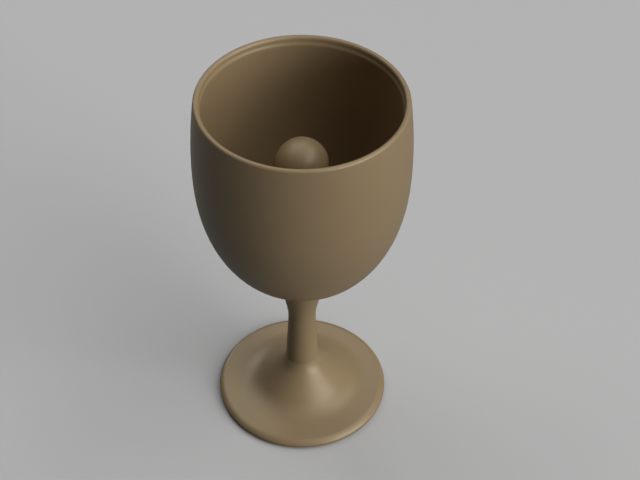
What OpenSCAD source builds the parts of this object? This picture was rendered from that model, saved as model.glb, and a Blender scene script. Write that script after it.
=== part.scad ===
// Goblet with a hidden siphon. Filled past the crest of its inner tube, it empties itself through the foot.
// One upright tube is both drain and tie rod: a flange screwed onto it sits in the bowl and one nut
// under the foot draws bowl, stem and foot together. The domed bell over the tube lifts off for cleaning.
// Millimetres, +Z up, origin on the table at the cup's axis.

/* [Bowl] */
// Height of the whole cup
cup_h = 160; // [150:1:190]
// Outside diameter at the lip
rim_d = 80; // [72:0.5:88]
// Largest outside diameter of the bowl
belly_d = 83.7; // [78:0.1:92]
// How far the largest diameter lies below the lip
belly_drop = 29.3; // [22:0.1:38]
// How far the underside's lowest point lies below the largest diameter
bowl_depth = 60; // [52:0.5:66]
// Roundness of the underside: 2 is an ellipse, more is fuller
bowl_power = 2.29; // [2:0.01:2.8]
// Thickness of the bowl's wall
bowl_wall = 3; // [2.4:0.1:4]
// Thickness of the flat floor inside the bowl
bowl_floor = 3; // [2.5:0.1:5]
// Thickness of the rounded lip
lip_t = 2.2; // [1.6:0.1:2.8]
// Height of the thinner lip above the ledge inside it
lip_h = 3.1; // [2:0.1:6]
// Diameter of the flat seat under the bowl, where the stem meets it
seat_d = 28; // [24:0.5:34]
// Diameter of the centring boss under the seat
boss_d = 16; // [14:0.5:18]
// Height of the centring boss
boss_h = 2; // [1:0.1:3]

/* [Siphon] */
// Outside diameter of the bell
bell_d = 20.6; // [18.6:0.1:24]
// Thickness of the bell's wall
bell_wall = 1.6; // [1.2:0.1:2.4]
// How far the bell's crown lies below the lip
bell_drop = 20.9; // [14:0.1:40]
// Number of arched inlets round the bell's base
inlet_n = 4; // [2:1:6]
// Width of an inlet
inlet_w = 6; // [4:0.5:7]
// Height of an inlet above the flange
inlet_h = 5.4; // [4.5:0.1:9]
// Outside diameter of the tube
tube_d = 8; // [7:0.1:8.4]
// Bore of the tube
tube_bore_d = 5.5; // [4:0.1:5.8]
// Height left between the tube's crest and the bell's crown, inside
crest_gap = 7; // [5:0.1:14]
// Thickness of the flange
flange_t = 2.8; // [2.6:0.1:5]
// Thickness of the gasket under the flange
gasket_t = 1; // [0.8:0.1:2.5]
// Section diameter of the ring that grips the bell
ring_d = 1.4; // [1:0.1:1.8]

/* [Stem] */
// Smallest diameter of the stem
waist_d = 11.5; // [10.8:0.1:15]
// Height of the waist above the table
waist_h = 46; // [38:0.5:50]
// Diameter of the stem where it stands on the foot
stem_foot_d = 13.5; // [13.2:0.1:17]
// How steeply the neck leaves the waist: length of its lower curve handle
neck_rise = 6; // [5:0.5:14]
// How softly the neck meets the bowl: length of its upper curve handle
neck_run = 3; // [1:0.1:6]
// Diameter of the stub that centres the stem in the foot
spigot_d = 10.6; // [10.2:0.1:11.4]
// Length of that stub
spigot_h = 3; // [2:0.1:6]

/* [Foot] */
// Outside diameter of the foot
foot_d = 72.4; // [64:0.1:84]
// Height of the foot, up to the stem
foot_h = 20.7; // [18:0.1:24]
// Thickness of the flat plate
plate_t = 4; // [3.8:0.1:5.4]
// Diameter at which the flare runs out into the plate
flare_d = 57; // [52:0.5:62]
// Rounding where the flare runs out into the plate
runout_r = 16.3; // [13:0.1:20]
// Rounding of the flare's throat, under the stem
throat_r = 13; // [9:0.1:16]
// Slope of the throat where it meets the stem, in degrees
throat_slope = 72; // [66:1:78]
// Rounding of the plate's shoulder, down to its edge
shoulder_r = 3.4; // [3:0.1:3.8]
// Slope of the shoulder where the edge begins, in degrees
shoulder_slope = 60; // [52:1:62]
// Rounding of the plate's edge
edge_r = 0.6; // [0.3:0.1:0.9]
// Height of the edge's lower corner, below which the plate draws in
edge_low = 1.1; // [0.9:0.1:1.3]
// How far the ring that the foot stands on lies in from the edge
base_in = 1.2; // [0.6:0.1:2]
// Diameter of the hollow under the foot
hollow_d = 52; // [40:0.5:58]
// Depth of that hollow
hollow_h = 1.6; // [1:0.1:2.2]
// Number of weep slots across the ring that the foot stands on
weep_n = 4; // [2:1:8]
// Width of a weep slot
weep_w = 6; // [3:0.5:8]
// Depth of a weep slot
weep_h = 0.8; // [0.5:0.1:1]

/* [Fastening under the foot] */
// Height of the pocket's ceiling above the table
pocket_h = 11; // [10.4:0.1:14]
// Diameter of the plain washer
washer_d = 16; // [14:0.5:18]
// Thickness of the plain washer
washer_t = 1.6; // [1:0.1:2]
// Diameter of the spring washer
spring_d = 14.8; // [12.5:0.1:15.5]
// Thickness of the spring washer
spring_t = 2; // [1.4:0.1:2.2]
// Width of the spring washer's split
spring_split = 1.4; // [0.8:0.1:2.5]
// Width of the nut across its flats
nut_af = 13; // [11:0.5:13.5]
// Thickness of the nut
nut_t = 4; // [3:0.1:5]
// Length of tube that stands out below the nut
tube_end = 0.8; // [0.4:0.1:1.2]

/* [Clearances] */
// Radial clearance of the tube in the pieces that it passes through
pass_gap = 0.1; // [0.05:0.01:0.2]
// Radial clearance of stubs, bosses and rings in what they fit
slip_gap = 0.05; // [0.02:0.01:0.1]
// Radial clearance of the flange inside the bell
flange_gap = 0.25; // [0.2:0.01:0.4]
// Room for a socket spanner round the washer in the pocket
tool_gap = 1.5; // [1:0.1:3]
// Gap under the bell and at the ends of stubs and bosses
end_gap = 0.1; // [0.05:0.01:0.3]
// Room above and below the ring in its groove
groove_gap = 0.2; // [0.1:0.05:0.3]

/* [Hidden] */
$fn = 96;

// Straight steps in each curved stretch of an outline
curve_n = 36;
// Straight steps in a small rounding
round_n = 8;
// Chamfer on the ends of metal pieces
chamfer = 0.4;
// How far a cut runs past the face that it opens
past = 1;

tan_satin = [0.54, 0.47, 0.37];
steel = [0.75, 0.75, 0.74];
silicone = [0.33, 0.31, 0.29];

// Bowl, from the lip down
rim_r = rim_d / 2;
belly_r = belly_d / 2;
lip_r = lip_t / 2;
seat_r = seat_d / 2;
boss_r = boss_d / 2;
belly_z = cup_h - belly_drop;
lip_z = cup_h - lip_r;
ledge_z = cup_h - lip_h;
in_belly_r = belly_r - bowl_wall;
in_depth = bowl_depth - bowl_wall;
// Turn of the underside's curve at the seat, 0 at its lowest point and 90 at the largest diameter
seat_turn = asin(pow(seat_r / belly_r, bowl_power / 2));
seat_z = bowl_z(seat_turn, bowl_depth);
seat_slope = bowl_depth / belly_r * pow(seat_r / belly_r, bowl_power - 1)
    * pow((belly_z - seat_z) / bowl_depth, 1 - bowl_power);
floor_z = seat_z + bowl_floor;
floor_turn = acos(pow((belly_z - floor_z) / in_depth, bowl_power / 2));

// Siphon, from the floor of the bowl up
tube_r = tube_d / 2;
tube_bore_r = tube_bore_d / 2;
pass_r = tube_r + pass_gap;
bell_r = bell_d / 2;
bell_in_r = bell_r - bell_wall;
dome_z = cup_h - bell_drop - bell_r;
bell_z = floor_z + end_gap;
flange_r = bell_in_r - flange_gap;
flange_z = floor_z + gasket_t;
flange_top_z = flange_z + flange_t;
inlet_top_z = flange_top_z + inlet_h;
ring_mid_r = bell_in_r - slip_gap - ring_d / 2;
ring_mid_z = flange_z + flange_t / 2;
groove_r = ring_mid_r - ring_d / 2 - slip_gap;
groove_half = ring_d / 2 + groove_gap;
crest_z = dome_z + bell_in_r - crest_gap;

// Stem and foot
waist_r = waist_d / 2;
stem_foot_r = stem_foot_d / 2;
spigot_r = spigot_d / 2;
foot_r = foot_d / 2;
flare_r = flare_d / 2;
hollow_r = hollow_d / 2;
// The flare is two arcs about these centres, and the straight line that touches both
throat_c = [stem_foot_r + throat_r * sin(throat_slope), foot_h + throat_r * cos(throat_slope)];
runout_c = [flare_r, plate_t + runout_r];
between_c = runout_c - throat_c;
flare_slope = asin((runout_r - throat_r) / norm(between_c)) - atan2(between_c.y, between_c.x);
// The plate's shoulder is an arc that runs into the smaller arc of its edge, about these centres
edge_c = [foot_r - edge_r, plate_t - shoulder_r + (shoulder_r - edge_r) * cos(shoulder_slope)];
shoulder_c = [edge_c.x - (shoulder_r - edge_r) * sin(shoulder_slope), plate_t - shoulder_r];

// Fasteners, from the pocket's ceiling down
pocket_r = washer_d / 2 + tool_gap;
washer_z = pocket_h - washer_t;
spring_z = washer_z - spring_t;
nut_z = spring_z - nut_t;
tube_z = nut_z - tube_end;

// Points of the bowl's rounded underside: a superellipse, at one turn of its curve
function bowl_r(turn, radius) = radius * pow(sin(turn), 2 / bowl_power);
function bowl_z(turn, depth) = belly_z - depth * pow(cos(turn), 2 / bowl_power);
// Outside radius of the bowl above its largest diameter, drawn in towards the lip
function side_r(z) = belly_r - (belly_r - rim_r) * pow((z - belly_z) / (lip_z - belly_z), 2);

// Even values from first to last, in n steps
function steps(first, last, n) = [for (i = [0:n]) first + (last - first) * i / n];
// Share from 0 to 1 that starts and ends level
function level_ends(s) = s * s * (3 - 2 * s);
// Points of an arc about a centre
function arc(r, z, radius, from, to, n) =
    [for (a = steps(from, to, n)) [r + radius * cos(a), z + radius * sin(a)]];
// Points of a cubic curve that its four control points p draw
function curve(p) = [
    for (t = steps(0, 1, curve_n))
        pow(1 - t, 3) * p[0] + 3 * pow(1 - t, 2) * t * p[1]
            + 3 * (1 - t) * pow(t, 2) * p[2] + pow(t, 3) * p[3]
];

// Washer, gasket or other flat ring that stands on z
module flat_ring(outer_r, inner_r, z, height) {
    translate([0, 0, z])
        difference() {
            cylinder(r = outer_r, h = height);
            translate([0, 0, -past])
                cylinder(r = inner_r, h = height + 2 * past);
        }
}

// Thin-walled bowl with a rounded lip, a ledge inside it and a flat seat with a boss underneath
module bowl() {
    under = [for (a = steps(seat_turn, 90, curve_n)) [bowl_r(a, belly_r), bowl_z(a, bowl_depth)]];
    side = [for (z = steps(belly_z, lip_z, curve_n)) [side_r(z), z]];
    lip = arc(rim_r - lip_r, lip_z, lip_r, 0, 180, 2 * round_n);
    inside = [for (z = steps(ledge_z, belly_z, curve_n)) [side_r(z) - bowl_wall, z]];
    hollow = [for (a = steps(90, floor_turn, curve_n)) [bowl_r(a, in_belly_r), bowl_z(a, in_depth)]];
    outline = concat(
        [[pass_r, seat_z - boss_h], [boss_r, seat_z - boss_h], [boss_r, seat_z]],
        under,
        [for (i = [1:curve_n]) side[i]],
        [for (i = [1:2 * round_n]) lip[i]],
        [[rim_r - lip_t, ledge_z]],
        inside,
        [for (i = [1:curve_n]) hollow[i]],
        [[pass_r, floor_z]]
    );
    color(tan_satin)
        rotate_extrude()
            polygon(outline);
}

// Domed column over the tube, open at its base through arched inlets
module siphon_bell() {
    color(tan_satin)
        difference() {
            union() {
                translate([0, 0, bell_z])
                    cylinder(r = bell_r, h = dome_z - bell_z);
                translate([0, 0, dome_z])
                    sphere(r = bell_r);
            }
            translate([0, 0, bell_z - past])
                cylinder(r = bell_in_r, h = dome_z - bell_z + past);
            translate([0, 0, dome_z])
                sphere(r = bell_in_r);
            for (i = [0:inlet_n - 1])
                rotate([0, 0, i * 360 / inlet_n])
                    inlet();
        }
}

// One arched inlet, cut from the axis outwards along +X
module inlet() {
    arch_z = inlet_top_z - inlet_w / 2;
    translate([0, -inlet_w / 2, bell_z - past])
        cube([bell_r + past, inlet_w, arch_z - bell_z + past]);
    translate([0, 0, arch_z])
        rotate([0, 90, 0])
            cylinder(d = inlet_w, h = bell_r + past);
}

// Upright tube: siphon crest at its top, drain and thread for the nut at its foot
module siphon_tube() {
    outline = [
        [tube_bore_r, tube_z],
        [tube_r - chamfer, tube_z],
        [tube_r, tube_z + chamfer],
        [tube_r, crest_z - chamfer],
        [tube_r - chamfer, crest_z],
        [tube_bore_r, crest_z]
    ];
    color(steel)
        rotate_extrude()
            polygon(outline);
}

// Flange screwed onto the tube, with a groove for the ring that grips the bell
module tube_flange() {
    inner_r = tube_r + slip_gap;
    outline = [
        [inner_r, flange_z],
        [flange_r, flange_z],
        [flange_r, ring_mid_z - groove_half],
        [groove_r, ring_mid_z - groove_half],
        [groove_r, ring_mid_z + groove_half],
        [flange_r, ring_mid_z + groove_half],
        [flange_r, flange_top_z],
        [inner_r, flange_top_z]
    ];
    color(steel)
        rotate_extrude()
            polygon(outline);
}

// Soft seal between the flange and the bowl's floor
module flange_gasket() {
    color(silicone)
        flat_ring(flange_r, tube_r + slip_gap, floor_z, gasket_t);
}

// Round-section ring in the flange's groove that grips and centres the bell
module bell_ring() {
    color(silicone)
        translate([0, 0, ring_mid_z])
            rotate_extrude()
                translate([ring_mid_r, 0])
                    circle(d = ring_d);
}

// Waisted stem: widens in a slow S-shaped curve to the foot and in a fuller curve to the bowl's seat
module stem() {
    socket_r = boss_r + slip_gap;
    lower = [
        for (z = steps(foot_h, waist_h, curve_n))
            [waist_r + (stem_foot_r - waist_r) * level_ends((waist_h - z) / (waist_h - foot_h)), z]
    ];
    handles = [
        [waist_r, waist_h],
        [waist_r, waist_h + neck_rise],
        [seat_r - neck_run, seat_z - neck_run * seat_slope],
        [seat_r, seat_z]
    ];
    neck = curve(handles);
    outline = concat(
        [[pass_r, foot_h - spigot_h + end_gap], [spigot_r, foot_h - spigot_h + end_gap], [spigot_r, foot_h]],
        lower,
        [for (i = [1:curve_n]) neck[i]],
        [[socket_r, seat_z], [socket_r, seat_z - boss_h - end_gap], [pass_r, seat_z - boss_h - end_gap]]
    );
    color(tan_satin)
        rotate_extrude()
            polygon(outline);
}

// Trumpet-flared foot, hollow underneath, with a pocket for the nut and slots that let the drink run out
module foot() {
    shoulder = arc(shoulder_c.x, shoulder_c.y, shoulder_r, 90 - shoulder_slope, 90, 2 * round_n);
    runout = arc(runout_c.x, runout_c.y, runout_r, -90, -90 - flare_slope, curve_n);
    throat = arc(throat_c.x, throat_c.y, throat_r, -90 - flare_slope, -90 - throat_slope, 2 * round_n);
    outline = concat(
        [[pass_r, pocket_h], [pocket_r, pocket_h], [pocket_r, hollow_h], [hollow_r, hollow_h], [hollow_r, 0]],
        [[foot_r - base_in, 0], [foot_r, edge_low]],
        arc(edge_c.x, edge_c.y, edge_r, 0, 90 - shoulder_slope, round_n),
        [for (i = [1:2 * round_n]) shoulder[i]],
        runout,
        throat,
        [[spigot_r + slip_gap, foot_h], [spigot_r + slip_gap, foot_h - spigot_h], [pass_r, foot_h - spigot_h]]
    );
    color(tan_satin)
        difference() {
            rotate_extrude()
                polygon(outline);
            for (i = [0:weep_n - 1])
                rotate([0, 0, (i + 0.5) * 360 / weep_n])
                    translate([hollow_r - past, -weep_w / 2, -past])
                        cube([foot_r - hollow_r + 2 * past, weep_w, weep_h + past]);
        }
}

// Washer against the pocket's ceiling
module plain_washer() {
    color(steel)
        flat_ring(washer_d / 2, pass_r + pass_gap, washer_z, washer_t);
}

// Split washer, pressed flat between the plain washer and the nut
module spring_washer() {
    color(steel)
        difference() {
            flat_ring(spring_d / 2, pass_r, spring_z, spring_t);
            translate([0, -spring_split / 2, spring_z - past])
                cube([spring_d, spring_split, spring_t + 2 * past]);
        }
}

// Thin hexagon nut, chamfered on both faces
module lock_nut() {
    corner_r = nut_af / 2 / cos(30);
    face_r = nut_af / 2;
    rise = (corner_r - face_r) * tan(30);
    barrel = [
        [0, nut_z], [face_r, nut_z], [corner_r, nut_z + rise],
        [corner_r, nut_z + nut_t - rise], [face_r, nut_z + nut_t], [0, nut_z + nut_t]
    ];
    color(steel)
        difference() {
            intersection() {
                translate([0, 0, nut_z])
                    cylinder(r = corner_r, h = nut_t, $fn = 6);
                rotate_extrude()
                    polygon(barrel);
            }
            translate([0, 0, nut_z - past])
                cylinder(r = tube_r + slip_gap, h = nut_t + 2 * past);
        }
}

bowl();
siphon_bell();
siphon_tube();
tube_flange();
flange_gasket();
bell_ring();
stem();
foot();
plain_washer();
spring_washer();
lock_nut();
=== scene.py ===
"""Goblet with a hidden siphon: moulded bowl, stem and foot, a lift-off bell, and a tube to tie them.

Outlines are drawn in millimetres as radius and height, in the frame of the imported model, and carried
round the cup's axis. Meshes are in metres.
"""

import math

import bmesh
import bpy
import numpy as np
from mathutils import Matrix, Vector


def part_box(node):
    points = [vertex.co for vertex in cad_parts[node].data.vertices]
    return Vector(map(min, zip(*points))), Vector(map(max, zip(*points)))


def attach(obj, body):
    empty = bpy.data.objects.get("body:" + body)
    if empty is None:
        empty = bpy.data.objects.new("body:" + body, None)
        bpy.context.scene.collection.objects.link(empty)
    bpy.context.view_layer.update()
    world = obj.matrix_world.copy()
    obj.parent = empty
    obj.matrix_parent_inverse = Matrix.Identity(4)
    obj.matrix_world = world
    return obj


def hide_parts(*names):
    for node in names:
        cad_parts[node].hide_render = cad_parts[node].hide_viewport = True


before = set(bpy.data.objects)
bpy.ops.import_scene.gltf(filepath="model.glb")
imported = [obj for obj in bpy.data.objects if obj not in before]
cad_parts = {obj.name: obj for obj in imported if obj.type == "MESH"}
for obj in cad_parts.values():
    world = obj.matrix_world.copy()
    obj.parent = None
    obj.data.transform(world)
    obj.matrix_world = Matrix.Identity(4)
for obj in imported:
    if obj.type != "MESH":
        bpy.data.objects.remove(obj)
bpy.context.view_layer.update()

MM = 0.001


def node_size(node):
    """Lowest height, highest height and largest radius of a CAD node, in millimetres."""
    low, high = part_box(node)
    return low.z / MM, high.z / MM, high.x / MM


# Sizes that the frame gives
boss_z, cup_h, belly_r = node_size("bowl")
bell_z, bell_top, bell_r = node_size("siphon_bell")
tube_z, crest_z, tube_r = node_size("siphon_tube")
flange_z, flange_top, flange_r = node_size("tube_flange")
floor_z, gasket_top, gasket_r = node_size("flange_gasket")
ring_low, ring_high, ring_r = node_size("bell_ring")
spigot_z, seat_z, seat_r = node_size("stem")
base_z, foot_h, foot_r = node_size("foot")
washer_z, washer_top, washer_r = node_size("plain_washer")
spring_z, spring_top, spring_r = node_size("spring_washer")
nut_z, nut_top, nut_corner_r = node_size("lock_nut")

# Bowl: the ledge's soft curve lies LEDGE_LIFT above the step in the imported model
RIM_R = 40
BELLY_DROP = 29.3
BOWL_DEPTH = 60
BOWL_POWER = 2.29
BOWL_WALL = 3
LIP_T = 2.2
LIP_H = 3.1
LEDGE_LIFT = 0.3
BOSS_R = 8

# Siphon
BELL_WALL = 1.6
INLETS = 4
INLET_W = 6
INLET_H = 5.4
BORE_R = 2.75
RING_T = 1.4
GROOVE_GAP = 0.2
THREAD_PITCH = 1
THREAD_DEPTH = 0.55
THREAD_STEPS = 12

# Stem
WAIST_R = 5.75
WAIST_H = 46
STEM_FOOT_R = 6.75
NECK_RISE = 6
NECK_RUN = 3
SPIGOT_R = 5.3

# Foot
PLATE_T = 4
FLARE_R = 28.5
RUNOUT_R = 16.3
THROAT_R = 13
THROAT_SLOPE = 72
SHOULDER_R = 3.4
SHOULDER_SLOPE = 60
EDGE_R = 0.6
EDGE_LOW = 1.1
BASE_IN = 1.2
HOLLOW_R = 26
HOLLOW_H = 1.6
WEEPS = 4
WEEP_W = 6
WEEP_H = 0.8
POCKET_R = 9.5

# Fasteners: the nut's flat face is NUT_FACE of its width, and a cone takes off the corners beside it
SPLIT_W = 1.4
SPLIT_LEAN = 30
CHAMFER = 0.4
NUT_FACE = 0.96
NUT_CONE = 30

# Clearances
PASS_GAP = 0.1
SLIP_GAP = 0.05

# Roundings on edges: inside a moulding, on its ledge, on its rims, where two meet, and on cut metal
FILLET = 2.5
LEDGE_EDGE = 1.1
MOULDED_EDGE = 0.3
JOINT_EDGE = 0.06
METAL_EDGE = 0.12

# Columns round a turned piece, and steps along a curved stretch of an outline, along a small rounding
# and along an eased corner
COLUMNS = 192
STEPS = 64
ROUND_STEPS = 10
EASE_STEPS = 5
# A point this many easings from a corner keeps the flats beside it evenly shaded
EASE_LEAD = 1.6
# Points closer than this many millimetres are one point
WELD = 0.0005
# Edges that turn more than this many degrees are shaded as edges
SHARP = 40


# Outlines

def arc(r, z, radius, start, stop, steps=ROUND_STEPS):
    """Points of a circle about (r, z), from one angle to another in degrees."""
    turn = np.radians(np.linspace(start, stop, steps + 1))
    return np.stack([r + radius * np.cos(turn), z + radius * np.sin(turn)], axis=1)


def curve(*handles, steps=STEPS):
    """Points of a cubic curve: four control points, each weighted by its Bernstein share of t."""
    t = np.linspace(0, 1, steps + 1)[:, None]
    a, b, c, d = (np.array(h, float) for h in handles)
    return (1 - t) ** 3 * a + 3 * (1 - t) ** 2 * t * b + 3 * (1 - t) * t**2 * c + t**3 * d


def eased(outline, ease, sharp=20):
    """Closed outline with every corner that turns more than sharp degrees rounded off.

    A corner becomes a parabola between two points that lie ease from it, or a quarter of a shorter
    side. A further point lies beyond each of its ends.
    """
    points = np.concatenate([np.atleast_2d(np.array(p, float)) for p in outline])
    before = points - np.roll(points, 1, axis=0)
    after = np.roll(points, -1, axis=0) - points
    reach_in = np.linalg.norm(before, axis=1, keepdims=True)
    reach_out = np.linalg.norm(after, axis=1, keepdims=True)
    before, after = before / reach_in, after / reach_out
    corner = np.sum(before * after, axis=1) < math.cos(math.radians(sharp))
    cut = np.minimum(ease, np.minimum(reach_in, reach_out) / 4)
    start, stop = points - before * cut, points + after * cut
    t = np.linspace(0, 1, EASE_STEPS + 1)[None, :, None]
    bend = (1 - t) ** 2 * start[:, None] + 2 * t * (1 - t) * points[:, None] + t**2 * stop[:, None]
    lead, trail = points - EASE_LEAD * before * cut, points + EASE_LEAD * after * cut
    spread = np.concatenate([lead[:, None], bend, trail[:, None]], axis=1)
    spread[~corner, 0] = points[~corner]
    keep = np.repeat(corner[:, None], spread.shape[1], axis=1)
    keep[:, 0] = True
    return spread[keep]


def flat_ring(outer, inner, low, high):
    """Corners of a washer's section."""
    return [[inner, low], [outer, low], [outer, high], [inner, high]]


# Meshes

def around(radius, angle, height):
    """Points at a radius and an angle in radians about the axis, at a height."""
    radius, angle, height = np.broadcast_arrays(radius, angle, height)
    return np.stack([radius * np.cos(angle), radius * np.sin(angle), height], axis=-1)


def skin(points, open_rows=False, open_columns=False):
    """Quads between neighbours of a grid of points in millimetres, rows by columns.

    Rows and columns each wrap round. Open rows end at poles instead, and open columns at two flat
    ends. Points that fall together are welded, which closes the poles.
    """
    index = np.arange(points.shape[0] * points.shape[1]).reshape(points.shape[:2])
    beside = np.roll(index, -1, axis=1)
    quads = np.stack([index, beside, np.roll(beside, -1, axis=0), np.roll(index, -1, axis=0)], axis=-1)
    rows = slice(0, -1 if open_rows else None)
    columns = slice(0, -1 if open_columns else None)
    faces = quads[rows, columns].reshape(-1, 4).tolist()
    if open_columns:
        faces += [index[:, 0].tolist(), index[::-1, -1].tolist()]
    mesh = bpy.data.meshes.new("skin")
    mesh.from_pydata((points.reshape(-1, 3) * MM).tolist(), [], faces)
    welded = bmesh.new()
    welded.from_mesh(mesh)
    bmesh.ops.remove_doubles(welded, verts=welded.verts, dist=WELD * MM)
    welded.to_mesh(mesh)
    welded.free()
    mesh.shade_smooth()
    mesh.set_sharp_from_angle(angle=math.radians(SHARP))
    return mesh


def turned(outline):
    """Outline swept once round the axis: every point becomes a ring."""
    angle = np.linspace(0, 2 * np.pi, COLUMNS, endpoint=False)
    return skin(around(outline[:, :1], angle, outline[:, 1:]))


def notched(wall_n, side_n, gap_n):
    """Columns of a walk along an edge from the middle of one wall, past a notch, to the next.

    across runs from -1 to 1 over the notch and keeps that value beside it. wall is the share of the
    way from the notch to the middle of the wall. climb goes from 0 on the wall, up the notch's side,
    to 1 over the notch.
    """
    away = np.linspace(-1, 0, wall_n, endpoint=False)
    up = np.linspace(0, 1, side_n, endpoint=False)
    over = np.cos(np.linspace(np.pi, 0, gap_n + 1))
    across = np.concatenate([np.full(wall_n + side_n, -1), over, np.full(side_n + wall_n - 1, 1)])
    wall = np.concatenate([away, np.zeros(2 * side_n + gap_n + 1), -away[:0:-1]])
    climb = np.concatenate([np.zeros(wall_n), up, np.ones(gap_n + 1), up[::-1], np.zeros(wall_n - 1)])
    return across, wall, climb


def repeated(angle, count, first=0):
    """Columns of one walk repeated count times round the axis, the first centred on an angle."""
    turn = first + 2 * np.pi * np.arange(count)[:, None] / count
    return (angle[:, None, :] + turn).reshape(len(angle), -1)


# Pieces

def bowl():
    """Outside a superellipse up to the belly, then drawn in to the lip by the square of the height.

    The inside is the same curve one wall further in, with a fillet round the floor. Below the thinner
    lip a cubic curve, upright at both ends, makes the ledge.
    """
    belly_z = cup_h - BELLY_DROP
    lip_r = LIP_T / 2
    lip_z = cup_h - lip_r
    ledge_z = cup_h - LIP_H + LEDGE_LIFT
    in_r, in_depth = belly_r - BOWL_WALL, BOWL_DEPTH - BOWL_WALL

    def under(start, stop, radius, depth):
        """Superellipse below the belly: sine and cosine of the turn, each to two over the power."""
        turn = np.linspace(start, stop, STEPS + 1)
        out = radius * np.abs(np.sin(turn)) ** (2 / BOWL_POWER)
        return np.stack([out, belly_z - depth * np.abs(np.cos(turn)) ** (2 / BOWL_POWER)], axis=1)

    def side(start, stop, inset):
        """Wall above the belly, drawn in by the square of the share of the height to the lip."""
        z = np.linspace(start, stop, STEPS + 1)
        draw = (belly_r - RIM_R) * ((z - belly_z) / (lip_z - belly_z)) ** 2
        return np.stack([belly_r - draw - inset, z], axis=1)

    seat_turn = math.asin((seat_r / belly_r) ** (BOWL_POWER / 2))
    floor_turn = math.acos(((belly_z - floor_z) / in_depth) ** (BOWL_POWER / 2))
    fillet_turn = math.acos(((belly_z - floor_z - FILLET / 4) / in_depth) ** (BOWL_POWER / 2))
    corner = under(floor_turn, floor_turn, in_r, in_depth)[0]
    inside = under(np.pi / 2, fillet_turn, in_r, in_depth)
    wall = side(ledge_z - LEDGE_EDGE, belly_z, BOWL_WALL)
    ledge = curve(
        [RIM_R - LIP_T, ledge_z + LEDGE_EDGE],
        [RIM_R - LIP_T, ledge_z],
        [wall[0, 0], ledge_z],
        wall[0],
        steps=2 * ROUND_STEPS,
    )
    fillet = curve(inside[-1], corner, corner, corner - [FILLET, 0], steps=ROUND_STEPS)
    outline = [
        [tube_r + PASS_GAP, boss_z],
        [BOSS_R, boss_z],
        [BOSS_R, seat_z],
        under(seat_turn, np.pi / 2, belly_r, BOWL_DEPTH),
        side(belly_z, lip_z, 0)[1:],
        arc(RIM_R - lip_r, lip_z, lip_r, 0, 180, 2 * ROUND_STEPS)[1:],
        ledge,
        wall[1:],
        inside[1:],
        fillet[1:],
        [tube_r + PASS_GAP, floor_z],
    ]
    return turned(eased(outline, JOINT_EDGE))


def siphon_bell():
    """Domed column: crown, inner wall, base edge and outer wall as one outline per column.

    The base edge walks along the wall, up the side of an inlet, over its round arch and down again.
    Rows between that edge and an even ring above the arches share out the way between them. An
    inlet's sides are parallel, so their angle is the arcsine of half its width over the radius.
    """
    half = INLET_W / 2
    spring_line = flange_top + INLET_H - half
    ring_z = flange_top + INLET_H + half
    dome_z = bell_top - bell_r
    fan = math.radians(6)
    across, wall, climb = notched(wall_n=12, side_n=6, gap_n=24)
    edge_z = bell_z + climb * (spring_line - bell_z) + half * np.sqrt(1 - across**2)

    def shell(radius):
        """Radius, share of the way up from the edge, and height, from the base to the crown."""
        rise = np.linspace(0, np.pi / 2, STEPS // 2 + 1)
        share = np.linspace(0, 1, ROUND_STEPS)
        barrel = np.linspace(ring_z, dome_z, ROUND_STEPS)[1:-1]
        r = np.concatenate([np.full(len(share) + len(barrel), radius), radius * np.cos(rise)])
        lift = np.concatenate([share, np.ones(len(barrel) + len(rise))])
        z = np.concatenate([np.full(len(share), ring_z), barrel, dome_z + radius * np.sin(rise)])
        return np.stack([np.full(len(r), radius), r, lift, z], axis=1)

    rows = np.concatenate([shell(bell_r - BELL_WALL)[::-1], shell(bell_r)])
    wall_r, radius, lift, height = (rows[:, i : i + 1] for i in range(4))
    sector = np.pi / INLETS
    edge = np.arcsin(across * half / wall_r) + wall * (sector - np.arcsin(half / wall_r))
    even = np.arcsin(across * half / bell_r) + fan * across * (1 - climb)
    even = even + wall * (sector - np.arcsin(half / bell_r) - fan)
    angle = repeated(edge + (even - edge) * lift, INLETS)
    edge_all = np.tile(edge_z, INLETS)
    return skin(around(radius, angle, edge_all + (height - edge_all) * lift), open_rows=True)


def siphon_tube():
    """Straight tube with a thread on its lower end.

    The thread is a triangle wave of height less turn, by which the radius dips. It fades out over its
    last pitch.
    """
    thread_top = washer_top + THREAD_PITCH
    thread_n = THREAD_STEPS * round((thread_top - tube_z) / THREAD_PITCH)
    thread = np.linspace(tube_z + 2 * CHAMFER, thread_top, thread_n)
    outline = eased(
        [
            [BORE_R, tube_z],
            [tube_r - CHAMFER, tube_z],
            [tube_r, tube_z + CHAMFER],
            np.stack([np.full(thread_n, tube_r), thread], axis=1),
            [tube_r, crest_z - CHAMFER],
            [tube_r - CHAMFER, crest_z],
            [BORE_R, crest_z],
        ],
        METAL_EDGE,
    )
    radius, height = outline[:, :1], outline[:, 1:]
    angle = np.linspace(0, 2 * np.pi, COLUMNS, endpoint=False)
    wave = np.abs(2 * (((height - tube_z) / THREAD_PITCH - angle / (2 * np.pi)) % 1) - 1)
    fade = np.clip((thread_top - height) / THREAD_PITCH, 0, 1)
    return skin(around(np.minimum(radius, tube_r - THREAD_DEPTH * wave * fade), angle, height))


def tube_flange():
    """Washer-shaped flange with a square groove in its edge."""
    inner, mid_z = tube_r + SLIP_GAP, (ring_low + ring_high) / 2
    groove_r, groove_half = ring_r - RING_T - SLIP_GAP, RING_T / 2 + GROOVE_GAP
    outline = [
        [inner, flange_z],
        [flange_r, flange_z],
        [flange_r, mid_z - groove_half],
        [groove_r, mid_z - groove_half],
        [groove_r, mid_z + groove_half],
        [flange_r, mid_z + groove_half],
        [flange_r, flange_top],
        [inner, flange_top],
    ]
    return turned(eased(outline, METAL_EDGE))


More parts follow.
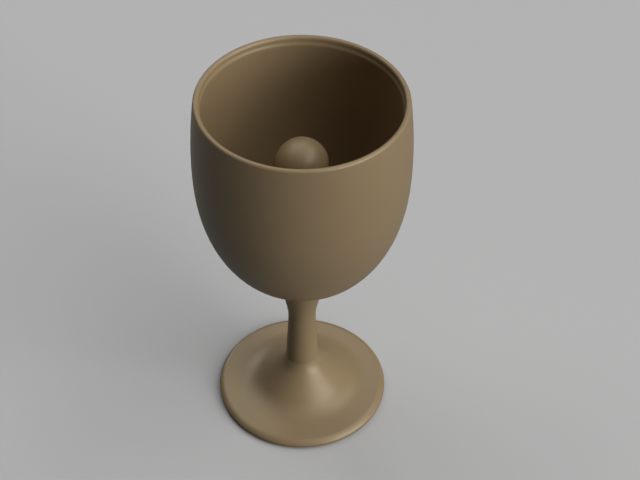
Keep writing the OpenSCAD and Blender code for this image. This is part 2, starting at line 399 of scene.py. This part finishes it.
def flange_gasket():
    """Flat ring with soft edges."""
    return turned(eased(flat_ring(gasket_r, tube_r + SLIP_GAP, floor_z, gasket_top), MOULDED_EDGE))


def bell_ring():
    """Round section swept round the axis."""
    section = arc(ring_r - RING_T / 2, (ring_low + ring_high) / 2, RING_T / 2, 0, 360, 3 * ROUND_STEPS)
    return turned(section[:-1])


def stem():
    """Waisted stem with a spigot below and a socket above.

    It widens below the waist by a cubic step of the drop, and above it in a cubic curve that meets the
    bowl at the bowl's own slope.
    """
    belly_z = cup_h - BELLY_DROP
    slope = BOWL_DEPTH / belly_r * (seat_r / belly_r) ** (BOWL_POWER - 1)
    slope *= ((belly_z - seat_z) / BOWL_DEPTH) ** (1 - BOWL_POWER)
    socket_r, socket_z = BOSS_R + SLIP_GAP, boss_z - PASS_GAP
    z = np.linspace(foot_h, WAIST_H, STEPS + 1)
    drop = (WAIST_H - z) / (WAIST_H - foot_h)
    widen = (STEM_FOOT_R - WAIST_R) * drop**2 * (3 - 2 * drop)
    neck = curve(
        [WAIST_R, WAIST_H],
        [WAIST_R, WAIST_H + NECK_RISE],
        [seat_r - NECK_RUN, seat_z - NECK_RUN * slope],
        [seat_r, seat_z],
    )
    outline = [
        [tube_r + PASS_GAP, spigot_z],
        [SPIGOT_R, spigot_z],
        [SPIGOT_R, foot_h],
        np.stack([WAIST_R + widen, z], axis=1),
        neck[1:],
        [socket_r, seat_z],
        [socket_r, socket_z],
        [tube_r + PASS_GAP, socket_z],
    ]
    return turned(eased(outline, JOINT_EDGE))


def foot():
    """Round plate under a trumpet flare.

    The flare is two arcs and the straight line that touches both. The line's slope is the arcsine of
    the difference of the arcs' radii over the distance between their centres, plus the slope from the
    lower centre up to the other. The plate's shoulder is an arc that runs into the smaller arc of its
    edge. The ring that the foot stands on is cut by weep slots with parallel sides: there the
    underside is no lower than the slot's ceiling.
    """
    hole_r, socket_z = SPIGOT_R + SLIP_GAP, spigot_z - PASS_GAP
    steep = math.radians(THROAT_SLOPE)
    throat_r = STEM_FOOT_R + THROAT_R * math.sin(steep)
    throat_z = foot_h + THROAT_R * math.cos(steep)
    reach, fall = FLARE_R - throat_r, throat_z - PLATE_T - RUNOUT_R
    apart = math.hypot(reach, fall)
    slope = math.degrees(math.asin((RUNOUT_R - THROAT_R) / apart) + math.atan2(fall, reach))
    runout = arc(FLARE_R, PLATE_T + RUNOUT_R, RUNOUT_R, -90, -90 - slope, STEPS // 2)
    throat = arc(throat_r, throat_z, THROAT_R, -90 - slope, -90 - THROAT_SLOPE, STEPS // 2)
    bend = math.radians(SHOULDER_SLOPE)
    edge_r = foot_r - EDGE_R
    edge_z = PLATE_T - SHOULDER_R + (SHOULDER_R - EDGE_R) * math.cos(bend)
    shoulder_r = edge_r - (SHOULDER_R - EDGE_R) * math.sin(bend)
    meet = 90 - SHOULDER_SLOPE
    edge = arc(edge_r, edge_z, EDGE_R, 0, meet)
    shoulder = arc(shoulder_r, PLATE_T - SHOULDER_R, SHOULDER_R, meet, 90, 2 * ROUND_STEPS)
    outline = eased(
        [
            [tube_r + PASS_GAP, washer_top],
            [POCKET_R, washer_top],
            [POCKET_R, HOLLOW_H],
            [HOLLOW_R, HOLLOW_H],
            [HOLLOW_R, base_z],
            [foot_r - BASE_IN, base_z],
            [foot_r, EDGE_LOW],
            edge,
            shoulder[1:],
            runout,
            throat,
            [hole_r, foot_h],
            [hole_r, socket_z],
            [tube_r + PASS_GAP, socket_z],
        ],
        JOINT_EDGE,
    )
    across, wall, climb = notched(wall_n=24, side_n=1, gap_n=8)
    radius, height = outline[:, :1], outline[:, 1:]
    slot = WEEP_W / 2 / np.maximum(radius, HOLLOW_R)
    angle = np.arcsin(across * slot) + wall * (np.pi / WEEPS - np.arcsin(slot))
    ceiling = base_z + WEEP_H * np.tile(climb, WEEPS)
    return skin(around(radius, repeated(angle, WEEPS, np.pi / WEEPS), np.maximum(height, ceiling)))


def plain_washer():
    """Stamped flat ring: the punch leaves its edges a little rounded."""
    section = flat_ring(washer_r, tube_r + 2 * PASS_GAP, washer_z, washer_top)
    return turned(eased(section, 2 * METAL_EDGE))


def spring_washer():
    """Square wire bent round the axis, with a gap of even width that leans as its ends were cut."""
    outline = eased(flat_ring(spring_r, tube_r + PASS_GAP, spring_z, spring_top), 2 * METAL_EDGE)
    radius, height = outline[:, :1], outline[:, 1:]
    gap = np.arcsin(SPLIT_W / 2 / radius)
    lean = math.tan(math.radians(SPLIT_LEAN)) * (height - (spring_z + spring_top) / 2) / radius
    share = np.linspace(0, 1, COLUMNS // 2)
    return skin(around(radius, lean + gap + share * (2 * np.pi - 2 * gap), height), open_columns=True)


def lock_nut():
    """Hexagon whose side lies at the flats' radius over the cosine of the turn from a flat's middle.

    Cones cut its corners back on both faces.
    """
    flat_r = nut_corner_r * math.cos(math.pi / 6)
    face_r, bore_r = NUT_FACE * flat_r, tube_r + SLIP_GAP
    angle = np.linspace(0, 2 * np.pi, COLUMNS // 2, endpoint=False)
    side = flat_r / np.cos(angle % (np.pi / 3) - np.pi / 6)
    drop = (side - face_r) * math.tan(math.radians(NUT_CONE))
    mouth = bore_r + CHAMFER
    radius = np.stack(np.broadcast_arrays(bore_r, mouth, face_r, side, side, face_r, mouth, bore_r))
    height = np.stack(
        np.broadcast_arrays(
            nut_z + CHAMFER, nut_z, nut_z, nut_z + drop,
            nut_top - drop, nut_top, nut_top, nut_top - CHAMFER,
        )
    )
    return skin(around(radius, angle, height))


# Materials

def srgb(code):
    """Linear colour, with alpha, of a six-digit sRGB hex code."""
    value = np.array([int(code[i : i + 2], 16) for i in (1, 3, 5)]) / 255
    linear = np.where(value <= 0.04045, value / 12.92, ((value + 0.055) / 1.055) ** 2.4)
    return (*linear.tolist(), 1)


def add(tree, kind, inputs=None, **settings):
    """Adds a node: settings are its own properties, inputs its sockets' values or links."""
    node = tree.nodes.new(kind)
    for name, value in settings.items():
        setattr(node, name, value)
    for socket, value in (inputs or {}).items():
        if isinstance(value, bpy.types.NodeSocket):
            tree.links.new(value, node.inputs[socket])
        else:
            node.inputs[socket].default_value = value
    return node


def blank(name):
    """Material with an empty node tree, and the tree."""
    material = bpy.data.materials.new(name)
    material.use_nodes = True
    material.node_tree.nodes.clear()
    return material, material.node_tree


def per_metre(size):
    """Noise scale whose grain is about size millimetres wide."""
    return 1 / (size * MM)


def moulded_abs():
    """ABS, injection moulded in a finely eroded tool: even tan, with a satin sheen and a faint grain."""
    material, tree = blank("satin_moulded_abs")
    spot = add(tree, "ShaderNodeTexCoord").outputs["Object"]
    # The pigment drifts a little where the plastic flowed into the mould
    drift = add(tree, "ShaderNodeTexNoise", {"Vector": spot, "Scale": per_metre(28), "Detail": 3.0})
    tint = add(
        tree, "ShaderNodeMix",
        {"Factor": drift.outputs["Fac"], "A": srgb("#8A7658"), "B": srgb("#8E7A5C")},
        data_type="RGBA",
    )
    # The grain is about 0.1 mm wide, drawn coarser here so that it shows
    grain = add(tree, "ShaderNodeTexNoise", {"Vector": spot, "Scale": per_metre(0.45), "Detail": 2.0})
    bump = add(
        tree, "ShaderNodeBump",
        {"Height": grain.outputs["Fac"], "Strength": 0.12, "Distance": 0.04 * MM},
    )
    # Handling polishes the grain in soft patches
    polish = add(
        tree, "ShaderNodeMapRange",
        {"Value": drift.outputs["Fac"], "To Min": 0.34, "To Max": 0.4},
    )
    shader = add(
        tree, "ShaderNodeBsdfPrincipled",
        {
            "Base Color": tint.outputs["Result"],
            "Roughness": polish.outputs["Result"],
            "IOR": 1.53,
            # A slightly warm sheen, so that the lights on it look tan and not grey
            "Specular Tint": srgb("#FFFAE7"),
            "Normal": bump.outputs["Normal"],
        },
    )
    add(tree, "ShaderNodeOutputMaterial", {"Surface": shader.outputs["BSDF"]})
    return material


def turned_steel():
    """Stainless steel, turned on a lathe: neutral grey, with fine rings that stretch its highlights."""
    material, tree = blank("turned_stainless_steel")
    spot = add(tree, "ShaderNodeTexCoord").outputs["Object"]
    # Distance from the axis plus height is level along a tool mark, on barrels and on faces
    level = add(tree, "ShaderNodeVectorMath", {0: spot, 1: (1.0, 1.0, 0.0)}, operation="MULTIPLY")
    reach = add(tree, "ShaderNodeVectorMath", {0: level.outputs["Vector"]}, operation="LENGTH")
    height = add(tree, "ShaderNodeSeparateXYZ", {"Vector": spot})
    mark = add(
        tree, "ShaderNodeMath",
        {0: reach.outputs["Value"], 1: height.outputs["Z"]},
        operation="ADD",
    )
    # The tool's feed leaves a mark about every 0.1 mm, drawn coarser here so that it shows
    rings = add(
        tree, "ShaderNodeTexNoise",
        {"W": mark.outputs["Value"], "Scale": per_metre(0.25), "Detail": 2.0},
        noise_dimensions="1D",
    )
    bump = add(
        tree, "ShaderNodeBump",
        {"Height": rings.outputs["Fac"], "Strength": 0.2, "Distance": 0.02 * MM},
    )
    gloss = add(
        tree, "ShaderNodeMapRange",
        {"Value": rings.outputs["Fac"], "To Min": 0.24, "To Max": 0.36},
    )
    tint = add(
        tree, "ShaderNodeMix",
        {"Factor": rings.outputs["Fac"], "A": srgb("#BDBCB9"), "B": srgb("#C6C6C4")},
        data_type="RGBA",
    )
    shader = add(
        tree, "ShaderNodeBsdfPrincipled",
        {
            "Base Color": tint.outputs["Result"],
            "Metallic": 1.0,
            "Roughness": gloss.outputs["Result"],
            "Normal": bump.outputs["Normal"],
        },
    )
    add(tree, "ShaderNodeOutputMaterial", {"Surface": shader.outputs["BSDF"]})
    return material


def moulded_silicone():
    """Silicone rubber, compression moulded: dark grey and dull, with a pale bloom on its skin."""
    material, tree = blank("moulded_silicone")
    spot = add(tree, "ShaderNodeTexCoord").outputs["Object"]
    # The bloom lies in patches about a millimetre wide
    bloom = add(tree, "ShaderNodeTexNoise", {"Vector": spot, "Scale": per_metre(1.2), "Detail": 4.0})
    tint = add(
        tree, "ShaderNodeMix",
        {"Factor": bloom.outputs["Fac"], "A": srgb("#4C4844"), "B": srgb("#5A5651")},
        data_type="RGBA",
    )
    bump = add(
        tree, "ShaderNodeBump",
        {"Height": bloom.outputs["Fac"], "Strength": 0.15, "Distance": 0.03 * MM},
    )
    shader = add(
        tree, "ShaderNodeBsdfPrincipled",
        {
            "Base Color": tint.outputs["Result"],
            "Roughness": 0.62,
            "IOR": 1.41,
            "Normal": bump.outputs["Normal"],
        },
    )
    add(tree, "ShaderNodeOutputMaterial", {"Surface": shader.outputs["BSDF"]})
    return material


def shown(tree):
    """Light path value: 1 for rays that show a surface, MIRRORED for rays that show it in another.

    It is 0 for rays that carry light from one surface to another.
    """
    path = add(tree, "ShaderNodeLightPath")
    mirrored = add(
        tree, "ShaderNodeMath",
        {0: path.outputs["Is Glossy Ray"], 1: path.outputs["Is Transmission Ray"]},
        operation="MAXIMUM",
    )
    faint = add(
        tree, "ShaderNodeMath",
        {0: mirrored.outputs["Value"], 1: MIRRORED},
        operation="MULTIPLY",
    )
    either = add(
        tree, "ShaderNodeMath",
        {0: path.outputs["Is Camera Ray"], 1: faint.outputs["Value"]},
        operation="MAXIMUM",
    )
    return either.outputs["Value"]


def matt_floor():
    """Matt card: an even pale grey that takes soft shadows. It throws little light back up."""
    material, tree = blank("matt_grey_card")
    tone = add(
        tree, "ShaderNodeMix",
        {"Factor": shown(tree), "A": srgb(CARD_DIM), "B": srgb(CARD)},
        data_type="RGBA",
    )
    card = add(tree, "ShaderNodeBsdfDiffuse", {"Color": tone.outputs["Result"]})
    add(tree, "ShaderNodeOutputMaterial", {"Surface": card.outputs["BSDF"]})
    return material


# Assembly

def place(node, mesh, material, body="cup"):
    """Puts a mesh in the scene in place of a CAD node."""
    mesh.name = f"{node}_finish"
    mesh.materials.append(material)
    piece = bpy.data.objects.new(mesh.name, mesh)
    bpy.context.scene.collection.objects.link(piece)
    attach(piece, body)
    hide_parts(node)
    return piece


def soften(piece, width):
    """Rounds off the edges of a piece that turn sharply."""
    bevel = piece.modifiers.new("soft_edges", "BEVEL")
    bevel.width = width * MM
    bevel.segments = 2
    bevel.limit_method = "ANGLE"
    bevel.angle_limit = math.radians(SHARP)
    bevel.harden_normals = True


plastic = moulded_abs()
steel = turned_steel()
silicone = moulded_silicone()
place("bowl", bowl(), plastic)
place("stem", stem(), plastic)
place("foot", foot(), plastic)
bell = place("siphon_bell", siphon_bell(), plastic, "bell")
place("siphon_tube", siphon_tube(), steel)
place("tube_flange", tube_flange(), steel)
place("plain_washer", plain_washer(), steel)
place("spring_washer", spring_washer(), steel)
nut = place("lock_nut", lock_nut(), steel)
place("flange_gasket", flange_gasket(), silicone)
place("bell_ring", bell_ring(), silicone)
soften(bell, MOULDED_EDGE)
soften(nut, METAL_EDGE)

# Floor and backdrop: their colours, how dark the floor is for rays that carry its light to the cup, and
# the share of both that mirrored rays see. The floor lies a hair below the foot
BACKDROP = "#B2B2B2"
CARD = "#C0C0C0"
CARD_DIM = "#595959"
MIRRORED = 0.3
FLOOR_HALF = 3
FLOOR_DROP = 0.02

floor_z_m = (base_z - FLOOR_DROP) * MM
floor_mesh = bpy.data.meshes.new("floor")
floor_mesh.from_pydata(
    [(x * FLOOR_HALF, y * FLOOR_HALF, floor_z_m) for x, y in ((-1, -1), (1, -1), (1, 1), (-1, 1))],
    [],
    [(0, 1, 2, 3)],
)
floor_mesh.materials.append(matt_floor())
floor = bpy.data.objects.new("floor", floor_mesh)
bpy.context.scene.collection.objects.link(floor)

# Soft boxes: where each hangs as seen from the cup, its azimuth counted from +X and its elevation, how
# wide and how high it looks, all in degrees, and how bright it is beside a white card
SOFT_BOXES = {
    "key": (330, 26, 39, 16, 5.3),
    "key_low": (323.5, 10, 52, 16, 5.05),
    "key_top": (330, 42, 65, 16, 1.15),
    "side_top": (352.5, 58, 68, 26, 2.0),
    "back": (119, 24, 17, 36, 1.98),
    "back_top": (120, 58, 60, 26, 1.55),
    "overhead": (0, 90, 31, 31, 1.0),
}
# Metres from the cup, far enough to light the floor evenly, and the room's own faint light
BOX_FAR = 30
AMBIENT = 0.01


def soft_box(name, azimuth, elevation, wide, high, glow):
    """Rectangular lamp that faces the cup.

    Its sides are twice its distance by the tangent of half the angle that they look, and its power is
    pi times its area times its glow.
    """
    light = bpy.data.lights.new(name, "AREA")
    light.shape = "RECTANGLE"
    light.size = 2 * BOX_FAR * math.tan(math.radians(wide / 2))
    light.size_y = 2 * BOX_FAR * math.tan(math.radians(high / 2))
    light.energy = math.pi * light.size * light.size_y * glow
    stand = bpy.data.objects.new(name, light)
    turn, lift = math.radians(azimuth), math.radians(elevation)
    stand.location = (
        BOX_FAR * math.cos(lift) * math.cos(turn),
        BOX_FAR * math.cos(lift) * math.sin(turn),
        BOX_FAR * math.sin(lift),
    )
    stand.rotation_euler = (math.pi / 2 - lift, 0, turn + math.pi / 2)
    bpy.context.scene.collection.objects.link(stand)


for name, settings in SOFT_BOXES.items():
    soft_box(name, *settings)

world = bpy.data.worlds.new("studio")
world.use_nodes = True
world.node_tree.nodes.clear()
fill = add(world.node_tree, "ShaderNodeBackground", {"Color": (1, 1, 1, 1), "Strength": AMBIENT})
backdrop = add(world.node_tree, "ShaderNodeBackground", {"Color": srgb(BACKDROP), "Strength": 1.0})
either = add(
    world.node_tree, "ShaderNodeMixShader",
    {0: shown(world.node_tree), 1: fill.outputs["Background"], 2: backdrop.outputs["Background"]},
)
add(world.node_tree, "ShaderNodeOutputWorld", {"Surface": either.outputs["Shader"]})
bpy.context.scene.world = world

# Camera, as far back and as high as the outlines of rim, bowl, stem and foot call for
LENS = 80
SENSOR = 36
LOOK_DOWN = 44.246
CAMERA_BACK = 406.12
CAMERA_UP = 484.0
IMAGE_W = 640
AXIS_COLUMN = 302

camera = bpy.data.cameras.new("camera")
camera.lens = LENS
camera.sensor_width = SENSOR
camera.sensor_fit = "HORIZONTAL"
camera.shift_x = (IMAGE_W / 2 - AXIS_COLUMN) / IMAGE_W
view_point = bpy.data.objects.new("camera", camera)
view_point.location = (0, -CAMERA_BACK * MM, CAMERA_UP * MM)
view_point.rotation_euler = (math.radians(90 - LOOK_DOWN), 0, 0)
bpy.context.scene.collection.objects.link(view_point)
bpy.context.scene.camera = view_point

bpy.context.scene.view_settings.view_transform = "Standard"
